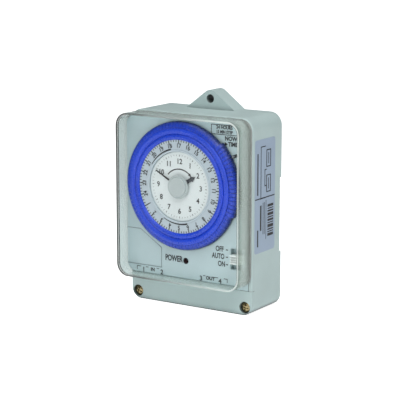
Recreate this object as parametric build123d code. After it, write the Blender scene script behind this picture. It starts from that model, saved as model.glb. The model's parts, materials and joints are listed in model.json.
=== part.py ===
from build123d import *
import os
from math import asin, atan2, cos, degrees, hypot, radians, sin

# A wall or rail mounted 24-hour time switch. Each piece is drawn as seen from the front: x to the right,
# y up and z towards the viewer, with z zero on the plane where the clear cover seats. The last section turns
# every piece into the part's own frame: z up, y to the back, origin under the middle of the whole depth.

# Driving sizes of the case
case_depth = 30.5
wall = 2.0
back_wall = 4.2
top_corner_r = 7.0
bottom_corner_r = 6.0
front_edge_r = 0.9
back_edge_r = 0.8

# Clearances, and how far a cut passes its surface
fit_gap = 0.2
run_gap = 0.3
shaft_gap = 0.05
press_gap = 0.02
overrun = 1.0

# Hanging ear
ear_half_width = 16.5
ear_depth = 10.8
ear_tip_r = 4.7
ear_hole_rise = 5.6
ear_hole_r = 2.35
ear_wall = 2.0
ear_boss_r = 4.2
ear_skin = 3.0

# Channel and hooks for a 35 mm rail, and the sliding clip below it
rail_height = 35.0
rail_thickness = 1.0
rail_top_room = 0.2
channel_low = 29.8
channel_height = 40.4
hook_inner_x = 14.0
hook_length = 14.0
hook_reach = 1.8
hook_thickness = 0.8
clip_half_width = 8.75
clip_foot_half_width = 6.75
clip_flange_thickness = 1.65
clip_pad_wall = 2.0
clip_bottom = 1.0
clip_tongue_reach = 1.6
clip_tongue_thickness = 0.75
clip_slot_half_width = 2.5
clip_slot_low = 3.0
clip_slot_height = 2.2
clip_arm_width = 1.2
clip_arm_slot = 1.0
clip_arm_length = 14.0

# Terminal compartment: strip cover, its screws, wire entries and partition
strip_height = 13.6
strip_thickness = 2.6
strip_rib_thickness = 1.2
strip_rib_depth = 1.1
strip_rib_room = 2.9
strip_screw_inset = 4.4
strip_screw_y = 4.4
strip_screw_head_r = 2.9
strip_screw_head_height = 1.2
strip_screw_sink = 0.6
strip_screw_r = 1.3
strip_screw_length = 11.0
strip_boss_r = 3.2
cross_slot_length = 3.6
cross_slot_width = 0.8
cross_slot_depth = 0.7
partition_rise = 2.0
partition_thickness = 1.6
entry_width = 8.0
entry_back = 11.5
entry_front = 4.0

# Terminal block and what is screwed to it
block_side_room = 5.9
block_floor_room = 2.3
block_low = 4.4
block_front = 9.2
terminal_inset = 6.1
terminal_pitch = 12.0
barrier_half_thickness = 0.6
barrier_front = 4.6
strip_metal_half_width = 2.5
strip_metal_thickness = 0.8
strip_metal_rise = 3.8
clamp_half_width = 3.6
clamp_height = 8.4
clamp_thickness = 1.0
clamp_open = 1.6
terminal_screw_y = 10.0
terminal_screw_r = 1.75
terminal_screw_head_r = 3.0
terminal_screw_head_height = 1.8
terminal_screw_depth = 9.0

# Raised panel inside the clear cover
panel_rise = 7.0
panel_thickness = 2.0
frame_wall = 1.8
frame_gap = 0.4
frame_corner_r = 5.2
frame_edge_r = 0.7
flange_thickness = 2.0
lamp_x = 1.7
lamp_rise = 9.8
lamp_r = 1.5
lamp_flange_r = 2.0
lamp_flange_thickness = 0.8
lamp_proud = 0.5
hub_hole_r = 6.5
boss_inset = 7.5
boss_top_inset = 5.3
boss_board_gap = 0.7
boss_r = 2.8
boss_back = 12.0

# Door over the reserve cell, at the lower left of the panel
door_rise = 4.2
door_height = 20.1
door_width = 22.6
door_slope_inset = 8.7
door_slope_drop = 8.9
door_thickness = 1.2
door_seat = 1.4
cell_inset = 12.2
cell_rise = 9.1
cell_r = 6.4
cell_edge = 0.75
cell_room = 1.3

# Three-place switch at the right edge of the panel
slider_width = 5.8
slider_rise = 14.5
slider_half_height = 2.4
slider_travel = 3.0
slider_proud = 1.5
slider_groove_depth = 0.6
slider_groove_width = 0.8
slider_stem_inset = 3.2
slider_stem_half_width = 0.9
slider_stem_half_height = 1.2
slider_stem_length = 3.6
well_depth = 3.0
well_floor = 1.2
mode_body_width = 4.8
mode_body_overhang = 1.4
mode_body_half_height = 7.0

# Clear cover and its hinge at the left
cover_inset = 0.3
cover_wall = 1.2
cover_rise = 1.9
cover_top_inset = 0.5
cover_room = 0.9
ring_side_room = 1.4
cover_corner_r = 7.0
cover_edge_r = 1.3
barrel_r = 1.6
hinge_pin_r = 0.75
hinge_pad = 3.6
hinge_sweep_gap = 0.5
lug_from_end = 9.5
lug_length = 5.0
knuckle_length = 5.0

# Dials, tabs, hands and knob, all on one axis
dial_r = 24.9
dial_rise = 4.0
dial_band_width = 6.3
dial_bead_width = 1.0
dial_bead_height = 0.5
dial_web_rise = 1.0
dial_web_thickness = 1.0
dial_seat_width = 1.4
dial_seat_rise = 1.6
dial_hub_r = 6.0
face_thickness = 1.0
face_edge = 0.2
face_gap = 0.12
carrier_rise = 0.4
carrier_width = 4.7
groove_inset = 2.5
groove_rise = 1.2
groove_height = 0.8
inner_ridge_offset = 1.4
inner_ridge_rise = 5.0
valley_offset = 2.9
valley_rise = 4.15
outer_ridge_offset = 4.4
outer_ridge_rise = 4.9
lip_width = 1.4
lip_rise = 4.5
lip_edge = 0.4
tab_count = 96
tab_gap_share = 0.06
tab_length = 4.8
tab_rise = 0.5
tab_nose_r = 2.8
tab_throw = 1.2
tab_tongue_clearance = 0.1
first_on_tab = 12
last_on_tab = 29
post_r = 2.7
pipe_r = 1.75
arbor_r = 1.0
post_flange_r = 4.5
post_flange_thickness = 0.6
hour_hand_gap = 0.4
hour_hand_thickness = 0.3
hour_hand_length = 11.8
hour_hand_half_width = 1.0
hour_hand_head = 2.8
hour_hand_head_half_width = 1.55
hour_hand_angle = 59.0
minute_hand_gap = 0.3
minute_hand_thickness = 0.25
minute_hand_length = 16.2
minute_hand_half_width = 0.55
minute_hand_angle = -61.5
hand_hub_r = 4.0
knob_gap = 0.1
knob_flange_r = 6.3
knob_flange_thickness = 0.35
knob_r = 5.2
knob_height = 1.25
knob_edge_r = 0.35
knob_bore_depth = 0.75

# Movement: two plates on pillars, with the wheels between and before them
train_distance = 14.0
cannon_teeth = 10
minute_wheel_teeth = 40
hour_pinion_teeth = 12
hour_wheel_teeth = 36
dial_pinion_teeth = 10
dial_wheel_teeth = 60
motor_pinion_teeth = 10
drive_wheel_teeth = 60
addendum_share = 0.75
dedendum_share = 1.15
tooth_root_share = 0.28
tooth_tip_share = 0.11
layshaft_r = 0.8
layshaft_angle = 180.0
motor_angle = -50.0
front_plate_back = 0.0
plate_thickness = 1.4
plate_left_reach = 26.0
plate_right = 13.0
plate_cell_gap = 1.2
plate_drop = 29.4
plate_lift = 29.6
plate_corner_r = 3.0
pillar_inset = 4.0
pillar_r = 2.0
pillar_bore_r = 1.2
plate_screw_r = 1.0
plate_screw_head_r = 2.0
plate_screw_head_height = 1.4
plate_boss_r = 2.2
plate_boss_room = 0.4
dial_wheel_step = 0.1
dial_wheel_thickness = 1.6
wheel_thickness = 0.9
hour_wheel_gap = 0.4
minute_wheel_gap = 0.7
drive_wheel_gap = 0.9
rear_plate_gap = 0.9
pinion_overhang = 0.2
wheel_rim = 2.0
wheel_hub_r = 4.0
spoke_half_width = 0.9
spoke_count = 4
clutch_r = 3.4
clutch_thickness = 0.25
clutch_rise = 0.4
motor_offset = 4.0
motor_r = 12.0
motor_depth = 9.4
motor_edge = 1.0
motor_spigot_r = 3.2
motor_shaft_r = 0.75
motor_shaft_depth = 5.0

# Trip lever and snap switch
nose_angle = 60.0
nose_r = 0.55
nose_gap = 0.25
nose_rise = 1.3
nose_slot_length = 2.6
trip_arm_length = 10.0
trip_room = 0.6
trip_thickness = 1.4
trip_pivot_tail = 1.1
trip_half_width = 1.1
trip_boss_r = 1.9
trip_pivot_r = 0.8
trip_tail_drop = 5.4
switch_plate_gap = 1.4
switch_plunger_inset = 3.1
switch_width = 12.0
switch_height = 11.6
switch_depth = 6.4
switch_edge_r = 0.6
switch_post_r = 1.1
switch_post_inset = 2.6
plunger_r = 0.7
plunger_proud = 1.1
plunger_depth = 3.0

# Circuit board, its posts and the capacitor
board_side_room = 5.5
board_gap = 0.5
board_height = 28.3
board_plate_gap = 0.8
board_thickness = 1.6
board_post_r = 2.4
board_post_inset = 4.5
capacitor_end_room = 18.0
capacitor_width = 9.0
capacitor_inset = 4.8
capacitor_height = 14.5
capacitor_depth = 7.7
capacitor_edge_r = 1.0

# Screws that hold the panel to the case, from the back
housing_screw_r = 1.4
housing_screw_head_r = 2.7
housing_screw_head_height = 2.0
housing_screw_counterbore = 4.5
housing_screw_grip = 6.0
housing_post_r = 4.2
screw_hole_gap = 0.2

# Sizes that follow from those above: the dial's stack of heights
panel_back = panel_rise - panel_thickness
carrier_back = panel_rise + carrier_rise
dial_front = panel_rise + dial_rise
dial_web_back = panel_rise + dial_web_rise
dial_web_front = dial_web_back + dial_web_thickness
dial_seat_front = panel_rise + dial_seat_rise
face_back = dial_web_front + run_gap
face_front = face_back + face_thickness
groove_back = panel_rise + groove_rise
groove_front = groove_back + groove_height
inner_ridge_front = panel_rise + inner_ridge_rise
valley_front = panel_rise + valley_rise
outer_ridge_front = panel_rise + outer_ridge_rise
tab_back = panel_rise + tab_rise
lip_front = panel_rise + lip_rise
lip_back = lip_front - lip_edge
tab_front = lip_back - tab_tongue_clearance
nose_front = panel_rise + nose_rise
hour_hand_back = face_front + hour_hand_gap
minute_hand_back = hour_hand_back + hour_hand_thickness + minute_hand_gap
knob_back = minute_hand_back + minute_hand_thickness + knob_gap
knob_flange_front = knob_back + knob_flange_thickness
knob_front = knob_back + knob_height
knob_bore_front = knob_back + knob_bore_depth
cover_depth = knob_front + cover_room + cover_wall

# The dial's radii
dial_bore_r = dial_r - dial_band_width
face_r = dial_bore_r - face_gap
inner_ridge_r = dial_r + inner_ridge_offset
valley_r = dial_r + valley_offset
outer_ridge_r = dial_r + outer_ridge_offset
carrier_r = dial_r + carrier_width
lip_r = carrier_r + lip_width
groove_bottom_r = carrier_r - groove_inset
tab_r = carrier_r + tab_length
tab_pitch = 360 / tab_count
tab_head_r = carrier_r + tab_tongue_clearance

# Widths: the cover goes round the ring with its tabs pulled out
cover_half_width = tab_r + tab_throw + ring_side_room + cover_wall
half_width = cover_half_width + cover_inset
case_width = 2 * half_width
frame_half_width = half_width - wall - run_gap
hinge_x = barrel_r - cover_half_width
hinge_z = run_gap + barrel_r
strip_screw_x = half_width - strip_screw_inset
strip_screw_seat = strip_screw_sink + strip_screw_head_height
strip_rib_half_width = strip_screw_x - strip_boss_r - strip_rib_room
block_half_width = half_width - wall - block_side_room
terminal_outer_x = block_half_width - terminal_inset
terminal_inner_x = terminal_outer_x - terminal_pitch
terminal_places = (-terminal_outer_x, -terminal_inner_x, terminal_inner_x, terminal_outer_x)
barrier_outer_x = block_half_width - barrier_half_thickness
barrier_inner_x = (terminal_outer_x + terminal_inner_x) / 2
barrier_places = (-barrier_outer_x, -barrier_inner_x, 0, barrier_inner_x, barrier_outer_x)
boss_x = half_width - boss_inset
board_half_width = half_width - board_side_room
door_right = door_width - frame_half_width
door_slope_x = door_slope_inset - frame_half_width
cell_x = cell_inset - frame_half_width
slider_right = frame_half_width - frame_gap
slider_left = slider_right - slider_width
slider_stem_x = slider_right - slider_stem_inset
well_left = slider_left - frame_gap
mode_body_right = slider_stem_x + mode_body_overhang
mode_body_left = mode_body_right - mode_body_width
capacitor_left = board_half_width - capacitor_end_room
plate_left = -plate_left_reach
switch_left = plate_right + switch_plate_gap
plunger_x = switch_left + switch_plunger_inset

# Heights on the front, from the strip up to the top of the case
partition_low = strip_height + partition_rise
partition_high = partition_low + partition_thickness
strip_metal_top = partition_high + strip_metal_rise
cover_low = strip_height + cover_rise
frame_low = cover_low + cover_wall + frame_gap
lamp_y = frame_low + lamp_rise
slider_y = frame_low + slider_rise
door_low = frame_low + door_rise
door_high = door_low + door_height
door_slope_y = door_high - door_slope_drop
cell_y = door_low + cell_rise
board_low = partition_high + board_gap
board_high = board_low + board_height
capacitor_low = board_low + capacitor_inset
plate_low = cell_y + cell_r + plate_cell_gap
dial_y = plate_low + plate_drop
plate_high = dial_y + plate_lift
cover_high = dial_y + tab_r + tab_throw + run_gap + cover_wall
frame_high = cover_high - cover_wall - frame_gap
boss_top_y = frame_high - boss_top_inset
boss_low_y = board_high + boss_r + boss_board_gap
case_height = cover_high + cover_top_inset
ear_hole_y = case_height + ear_hole_rise
well_half_height = slider_half_height + slider_travel + fit_gap

# Depths behind the panel, from the front plate back
front_plate_front = front_plate_back + plate_thickness
dial_hub_back = front_plate_front + post_flange_thickness + run_gap
dial_wheel_back = dial_hub_back + dial_wheel_step
dial_wheel_front = dial_wheel_back + dial_wheel_thickness
hour_wheel_front = front_plate_back - hour_wheel_gap
hour_wheel_back = hour_wheel_front - wheel_thickness
minute_wheel_front = hour_wheel_back - minute_wheel_gap
minute_wheel_back = minute_wheel_front - wheel_thickness
drive_wheel_front = minute_wheel_back - drive_wheel_gap
drive_wheel_back = drive_wheel_front - wheel_thickness
rear_plate_front = drive_wheel_back - rear_plate_gap
rear_plate_back = rear_plate_front - plate_thickness
board_front = rear_plate_back - plate_screw_head_height - board_plate_gap
board_back = board_front - board_thickness
capacitor_front = board_front + capacitor_depth
trip_front = panel_back - trip_room
trip_back = trip_front - trip_thickness
plunger_z = (trip_back + trip_front) / 2
switch_front = panel_back - fit_gap
switch_back = switch_front - switch_depth
cell_front = panel_rise - door_seat - cell_room
well_back = panel_rise - well_depth
slider_stem_back = well_back + run_gap - slider_stem_length
mode_body_front = slider_stem_back - run_gap

# Depths at the back of the case
channel_high = channel_low + channel_height
channel_depth = rail_thickness + hook_thickness + fit_gap
channel_floor = channel_depth - case_depth
rail_low = channel_high - rail_top_room - rail_height
clip_face = hook_thickness - case_depth
cavity_floor = back_wall - case_depth
clip_flange_back = channel_floor - clip_flange_thickness / 2
clip_flange_front = clip_flange_back + clip_flange_thickness
block_back = case_depth - back_wall - block_floor_room
housing_screw_seat = case_depth - housing_screw_counterbore
housing_screw_length = housing_screw_seat - boss_back + housing_screw_grip


def polar(radius, angle):
    """A place at an angle clockwise from the top, as on a clock."""
    return radius * sin(radians(angle)), radius * cos(radians(angle))


def outline(half, low, high, low_r, high_r):
    sketch = Pos(0, (low + high) / 2) * Rectangle(2 * half, high - low)
    sketch = fillet(sketch.vertices().group_by(Axis.Y)[0], low_r)
    return fillet(sketch.vertices().group_by(Axis.Y)[-1], high_r)


def slab(sketch, back, front):
    return Pos(0, 0, back) * extrude(sketch, front - back, dir=(0, 0, 1))


def disc(radius, back, front, x=0, y=0):
    return slab(Pos(x, y) * Circle(radius), back, front)


def tube(outer, inner, back, front, x=0, y=0):
    return slab(Pos(x, y) * (Circle(outer) - Circle(inner)), back, front)


def block(left, right, low, high, back, front):
    return slab(Pos((left + right) / 2, (low + high) / 2) * Rectangle(right - left, high - low), back, front)


def upright(radius, x, z, low, high):
    return Pos(x, (low + high) / 2, z) * Rot(90, 0, 0) * Cylinder(radius, high - low)


def group(solids):
    return Compound(children=[solid.solid() for solid in solids])


def edges_at(shape, z):
    """The edges that lie flat at one height in front of the seat."""
    return shape.edges().filter_by_position(Axis.Z, z - press_gap, z + press_gap)


# Case

def case_blank():
    blank = slab(outline(half_width, 0, case_height, bottom_corner_r, top_corner_r), -case_depth, 0)
    blank = fillet(edges_at(blank, 0), front_edge_r)
    return fillet(edges_at(blank, -case_depth), back_edge_r)


def ear_sketch():
    base_y = case_height - wall / 2
    reach = hypot(ear_half_width, ear_hole_y - base_y)
    lean = asin(ear_tip_r / reach) + atan2(ear_hole_y - base_y, ear_half_width)
    touch = ear_half_width - (reach**2 - ear_tip_r**2) ** 0.5 * cos(lean)
    touch_y = base_y + (reach**2 - ear_tip_r**2) ** 0.5 * sin(lean)
    flanks = Polygon(
        (-ear_half_width, base_y),
        (ear_half_width, base_y),
        (touch, touch_y),
        (-touch, touch_y),
        align=None,
    )
    return flanks + Pos(0, ear_hole_y) * Circle(ear_tip_r)


def ear():
    sketch = ear_sketch()
    solid = slab(sketch, -case_depth, ear_depth - case_depth)
    core = offset(sketch, -ear_wall) - Pos(0, ear_hole_y) * Circle(ear_boss_r)
    core -= Pos(0, case_height - ear_half_width) * Rectangle(2 * ear_half_width, 2 * ear_half_width)
    for pocket in core.faces():
        solid -= slab(pocket, -case_depth - overrun, ear_depth - ear_skin - case_depth)
    return solid - disc(ear_hole_r, -case_depth - overrun, ear_depth - case_depth + overrun, 0, ear_hole_y)


def board_posts():
    for x in (board_post_inset - board_half_width, board_half_width - board_post_inset):
        for y in (board_low + board_post_inset, board_high - board_post_inset):
            yield x, y


def frame_bosses():
    for x in (-boss_x, boss_x):
        for y in (boss_low_y, boss_top_y):
            yield x, y


def rear_housing():
    inner_r = top_corner_r - wall
    shell = case_blank()
    hollow = outline(half_width - wall, wall, case_height - wall, bottom_corner_r - wall, inner_r)
    shell -= slab(hollow, cavity_floor, overrun)
    shell += ear()
    shell += block(wall / 2 - half_width, half_width - wall / 2, partition_low, partition_high,
                   cavity_floor - overrun, -flange_thickness - fit_gap)
    pad_half = clip_half_width + fit_gap + clip_pad_wall
    shell += block(-pad_half, pad_half, wall / 2, channel_low, cavity_floor - overrun,
                   clip_flange_front + fit_gap + clip_pad_wall)
    for x in (-strip_screw_x, strip_screw_x):
        shell += disc(strip_boss_r, cavity_floor - overrun, -strip_thickness, x, strip_screw_y)
    for x, y in board_posts():
        shell += disc(board_post_r, cavity_floor - overrun, board_back, x, y)
    for x, y in frame_bosses():
        shell += disc(housing_post_r, cavity_floor - overrun, -boss_back - fit_gap, x, y)
    # The case keeps its outline where bosses meet the corners
    face = outline(half_width, 0, case_height, bottom_corner_r, top_corner_r)
    shell = shell & (slab(face, -case_depth, 0) + ear())
    shell -= block(-case_width, case_width, -overrun, strip_height, -strip_thickness, overrun)
    for x in (-strip_screw_x, strip_screw_x):
        shell -= disc(strip_screw_r + press_gap, -strip_thickness - strip_screw_length, overrun, x,
                      strip_screw_y)
    for x, y in frame_bosses():
        shell -= disc(housing_screw_r + screw_hole_gap, -case_depth - overrun, overrun - boss_back, x, y)
        shell -= disc(housing_screw_head_r + run_gap, -case_depth - overrun, -housing_screw_seat, x, y)
    # Rail channel with two hooks along its upper edge
    shell -= block(-case_width, case_width, channel_low, channel_high, -case_depth - overrun, channel_floor)
    for x in (-hook_inner_x - hook_length, hook_inner_x):
        shell += block(x, x + hook_length, channel_high - hook_reach, channel_high + overrun, -case_depth,
                       clip_face)
    # Groove that the clip slides in, wider inside than at its mouth
    shell -= block(-clip_half_width - fit_gap, clip_half_width + fit_gap, -overrun, channel_low + overrun,
                   clip_flange_back - fit_gap, clip_flange_front + fit_gap)
    shell -= block(-clip_foot_half_width - fit_gap, clip_foot_half_width + fit_gap, -overrun,
                   channel_low + overrun,
                   -case_depth - overrun, clip_flange_front)
    for x in terminal_places:
        shell -= block(x - entry_width / 2, x + entry_width / 2, -overrun, wall + overrun, -entry_back,
                       -entry_front)
        shell -= block(x - strip_metal_half_width - fit_gap, x + strip_metal_half_width + fit_gap,
                       partition_low - overrun, partition_high + overrun,
                       -block_front - fit_gap, strip_metal_thickness + fit_gap - block_front)
    return shell


def rail_clip():
    tongue_high = rail_low + clip_tongue_reach
    clip = block(-clip_half_width, clip_half_width, clip_bottom, channel_low - fit_gap,
                 clip_flange_back, clip_flange_front)
    clip += block(-clip_foot_half_width, clip_foot_half_width, clip_bottom, channel_low,
                  fit_gap - case_depth, clip_flange_front)
    clip += block(-clip_foot_half_width, clip_foot_half_width, channel_low - overrun, tongue_high,
                  fit_gap - case_depth, fit_gap - case_depth + clip_tongue_thickness)
    for side in (-1, 1):
        slot_x = side * (clip_foot_half_width - clip_arm_width - clip_arm_slot / 2)
        slot_middle = channel_low - clip_arm_length / 2 - clip_arm_width
        slot = Box(clip_arm_slot, clip_arm_length, case_depth + overrun)
        clip -= Pos(slot_x, slot_middle, -case_depth / 2) * slot
    clip -= block(-clip_slot_half_width, clip_slot_half_width, clip_slot_low,
                  clip_slot_low + clip_slot_height,
                  -case_depth - overrun, 0)
    return clip


def cross_head(head_r, height, soften):
    """A screw head with its flat side on z zero, a softened rim and a cross recess in its crown."""
    head = Pos(0, 0, height / 2) * Cylinder(head_r, height)
    head = soften(edges_at(head, height), height / 2)
    for turn in (0, 90):
        slot = Box(cross_slot_length, cross_slot_width, 2 * cross_slot_depth)
        head -= Pos(0, 0, height) * Rot(0, 0, turn) * slot
    return head


def screw(head_r, head_height, shank_r, length, soften=chamfer):
    return cross_head(head_r, head_height, soften) + disc(shank_r, -length, press_gap)


def terminal_cover():
    strip = case_blank() & block(-half_width, half_width, 0, strip_height - fit_gap, -strip_thickness, 0)
    strip += block(-strip_rib_half_width, strip_rib_half_width, strip_height - wall - strip_rib_thickness,
                   strip_height - wall, -strip_thickness - strip_rib_depth, -strip_thickness)
    for x in (-strip_screw_x, strip_screw_x):
        strip -= disc(strip_screw_r + screw_hole_gap, -strip_thickness - overrun, overrun, x, strip_screw_y)
        strip -= disc(strip_screw_head_r + run_gap, -strip_screw_seat, overrun, x, strip_screw_y)
    return strip


def terminal_cover_screws():
    one = screw(strip_screw_head_r, strip_screw_head_height, strip_screw_r,
                strip_screw_length - strip_screw_head_height, fillet)
    places = (-strip_screw_x, strip_screw_x)
    return group([Pos(x, strip_screw_y, -strip_screw_seat) * one for x in places])


# Terminals

def terminal_block():
    high = partition_low - fit_gap
    body = block(-block_half_width, block_half_width, block_low, high, -block_back, -block_front)
    for x in barrier_places:
        body += block(x - barrier_half_thickness, x + barrier_half_thickness, block_low, high,
                      -block_front - overrun, -barrier_front)
    for x in terminal_places:
        body -= disc(terminal_screw_r + screw_hole_gap, -block_front - terminal_screw_depth, 0, x,
                     terminal_screw_y)
    return body


def bus_strips():
    strips = []
    for x in terminal_places:
        one = block(x - strip_metal_half_width, x + strip_metal_half_width, block_low + fit_gap,
                    strip_metal_top,
                    -block_front, strip_metal_thickness - block_front)
        one -= disc(terminal_screw_r + screw_hole_gap, -block_front - overrun, 0, x, terminal_screw_y)
        strips.append(one)
    return group(strips)


def clamp_back():
    return strip_metal_thickness + clamp_open - block_front


def terminal_clamps():
    clamps = []
    low = terminal_screw_y - clamp_height / 2
    for x in terminal_places:
        one = block(x - clamp_half_width, x + clamp_half_width, low, low + clamp_height,
                    clamp_back(), clamp_back() + clamp_thickness)
        one -= disc(terminal_screw_r + shaft_gap, -block_front, 0, x, terminal_screw_y)
        clamps.append(one)
    return group(clamps)


def terminal_screws():
    head_seat = clamp_back() + clamp_thickness
    one = screw(terminal_screw_head_r, terminal_screw_head_height, terminal_screw_r,
                terminal_screw_depth + head_seat)
    return group([Pos(x, terminal_screw_y, head_seat) * one for x in terminal_places])


# Panel and clear cover

def hinge_spans():
    """Lower and upper hinge: the lug's ends and the knuckle's ends, in from each end of the cover."""
    low = cover_low + lug_from_end
    high = cover_high - lug_from_end
    step = lug_length + run_gap
    yield (low, low + lug_length), (low + step, low + step + knuckle_length)
    yield (high - lug_length, high), (high - step - knuckle_length, high - step)


def door_sketch(gap):
    left = -frame_half_width - overrun
    if gap > 0:
        left = gap - frame_half_width
    return Polygon(
        (left, door_low + gap),
        (door_right - gap, door_low + gap),
        (door_right - gap, door_slope_y - gap),
        (door_slope_x - gap, door_high - gap),
        (left, door_high - gap),
        align=None,
    )


def nose_place(extra=0):
    return polar(tab_r + tab_throw + nose_gap + nose_r + extra, nose_angle)


def pivot_place():
    x, y = nose_place()
    step_x, step_y = polar(trip_arm_length, nose_angle - 90)
    return x + step_x, dial_y + y + step_y


def switch_top():
    return pivot_place()[1] - trip_tail_drop - trip_half_width - fit_gap - plunger_proud


def switch_posts():
    y = switch_top() - switch_height + switch_post_inset
    left = switch_left + switch_post_inset
    return (left, y), (left + switch_width - 2 * switch_post_inset, y)


def pillar_places():
    for x in (plate_left + pillar_inset, plate_right - pillar_inset):
        for y in (plate_low + pillar_inset, plate_high - pillar_inset):
            yield x, y


def front_frame():
    shell = slab(outline(frame_half_width, frame_low, frame_high, frame_corner_r, frame_corner_r),
                 -flange_thickness, panel_rise)
    shell = fillet(edges_at(shell, panel_rise), frame_edge_r)
    shell += block(-frame_half_width, frame_half_width, strip_height, frame_low + 2 * frame_corner_r,
                   -flange_thickness, 0)
    inner_r = frame_corner_r - frame_wall
    shell -= slab(outline(frame_half_width - frame_wall, frame_low + frame_wall, frame_high - frame_wall,
                          inner_r, inner_r), -flange_thickness - overrun, panel_back)
    # Bosses behind the panel
    for x, y in frame_bosses():
        shell += disc(boss_r, -boss_back, panel_back + press_gap, x, y)
        shell -= disc(housing_screw_r + press_gap, -boss_back - overrun, panel_back, x, y)
    for x, y in pillar_places():
        shell += disc(plate_boss_r, front_plate_front, panel_back + press_gap, x, y)
        shell -= disc(plate_screw_r + press_gap, front_plate_front - overrun, panel_back, x, y)
    for x, y in switch_posts():
        shell += disc(switch_post_r, switch_back, panel_back + press_gap, x, y)
    pivot_x, pivot_y = pivot_place()
    shell += disc(trip_boss_r, trip_front + shaft_gap, panel_back + press_gap, pivot_x, pivot_y)
    shell -= disc(trip_pivot_r + press_gap, trip_front - overrun, panel_rise - panel_thickness / 2, pivot_x,
                  pivot_y)
    # Well of the three-place switch, open at the right edge
    shell += block(well_left - well_floor, frame_half_width, slider_y - well_half_height - well_floor,
                   slider_y + well_half_height + well_floor, well_back - well_floor, panel_back + press_gap)
    shell -= block(well_left, frame_half_width + overrun, slider_y - well_half_height,
                   slider_y + well_half_height,
                   well_back, panel_rise + overrun)
    stem_half = slider_stem_half_width + run_gap
    stem_run = slider_stem_half_height + slider_travel + run_gap
    shell -= block(slider_stem_x - stem_half, slider_stem_x + stem_half, slider_y - stem_run,
                   slider_y + stem_run,
                   well_back - well_floor - overrun, panel_rise)
    # Holes for the hub, the lamp, the trip lever's nose and the reserve cell, and the door's seat
    shell -= disc(hub_hole_r, 0, panel_rise + overrun, 0, dial_y)
    shell -= disc(lamp_r + fit_gap, 0, panel_rise + overrun, lamp_x, lamp_y)
    nose_x, nose_y = nose_place(nose_slot_length / 2 - nose_r - fit_gap)
    nose_slot = SlotOverall(nose_slot_length + 2 * nose_r, 2 * (nose_r + run_gap))
    nose_slot = Pos(nose_x, dial_y + nose_y) * Rot(0, 0, 90 - nose_angle) * nose_slot
    shell -= slab(nose_slot, 0, panel_rise + overrun)
    shell -= slab(door_sketch(0), panel_rise - door_seat, panel_rise + overrun)
    shell -= disc(cell_r + run_gap, 0, panel_rise, cell_x, cell_y)
    # Hinge lugs, and the groove that the cover's rear edge turns in, on a pad that thickens the left wall
    shell += block(-frame_half_width, hinge_pad - frame_half_width, frame_low + frame_corner_r,
                   frame_high - frame_corner_r, -flange_thickness, panel_back)
    shell -= upright(barrel_r + hinge_sweep_gap, hinge_x, hinge_z, cover_low, cover_high)
    for (lug_low, lug_high), _ in hinge_spans():
        shell += upright(barrel_r, hinge_x, hinge_z, lug_low, lug_high)
        shell += block(hinge_x, hinge_pad / 2 - frame_half_width, lug_low, lug_high,
                       hinge_z - barrel_r, hinge_z + barrel_r)
        shell -= upright(hinge_pin_r + press_gap, hinge_x, hinge_z, lug_low - overrun, lug_high + overrun)
    return shell


def hinge_pins():
    pins = []
    for (lug_low, lug_high), (knuckle_low, knuckle_high) in hinge_spans():
        pins.append(upright(hinge_pin_r, hinge_x, hinge_z, min(lug_low, knuckle_low) + run_gap,
                            max(lug_high, knuckle_high) - run_gap))
    return group(pins)


def cell_door():
    return slab(door_sketch(fit_gap), panel_rise - door_seat, panel_rise - door_seat + door_thickness)


def clear_cover():
    inner_r = cover_corner_r - cover_wall
    shell = slab(outline(cover_half_width, cover_low, cover_high, cover_corner_r, cover_corner_r),
                 run_gap, cover_depth)
    shell = fillet(edges_at(shell, cover_depth), cover_edge_r)
    shell -= slab(outline(cover_half_width - cover_wall, cover_low + cover_wall, cover_high - cover_wall,
                          inner_r, inner_r), -overrun, cover_depth - cover_wall)
    # The left wall's rear edge is rounded about the hinge axis, so that it turns clear of the case
    rounded = shell & upright(barrel_r, hinge_x, hinge_z, cover_low, cover_high)
    shell -= block(-case_width, hinge_x, 0, case_height, 0, hinge_z)
    shell += rounded
    for (lug_low, lug_high), (knuckle_low, knuckle_high) in hinge_spans():
        shell += upright(barrel_r, hinge_x, hinge_z, knuckle_low, knuckle_high)
        shell -= upright(hinge_pin_r + shaft_gap, hinge_x, hinge_z, knuckle_low - overrun,
                         knuckle_high + overrun)
        shell -= upright(barrel_r + run_gap, hinge_x, hinge_z, lug_low - run_gap, lug_high + run_gap)
    return shell


# Dials, tabs, hands and knob

def turned(points):
    """A piece turned about the dial's axis from a profile of radius and height."""
    profile = Polygon(*[(radius, 0, height) for radius, height in points], align=None)
    return Pos(0, dial_y) * revolve(profile, Axis.Z)


def program_dial():
    disc_part = tube(dial_r, dial_bore_r, dial_web_back, dial_front)
    bead = tube(dial_bore_r + dial_bead_width, dial_bore_r, dial_front, dial_front + dial_bead_height)
    disc_part += fillet(edges_at(bead, dial_front + dial_bead_height), dial_bead_width / 4)
    disc_part += disc(dial_bore_r, dial_web_back, dial_web_front)
    disc_part += disc(dial_r + dial_seat_width, dial_web_back, dial_seat_front)
    disc_part += disc(dial_hub_r, dial_hub_back, dial_web_back)
    disc_part -= disc(post_r + shaft_gap, 0, dial_front)
    return Pos(0, dial_y) * disc_part


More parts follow.
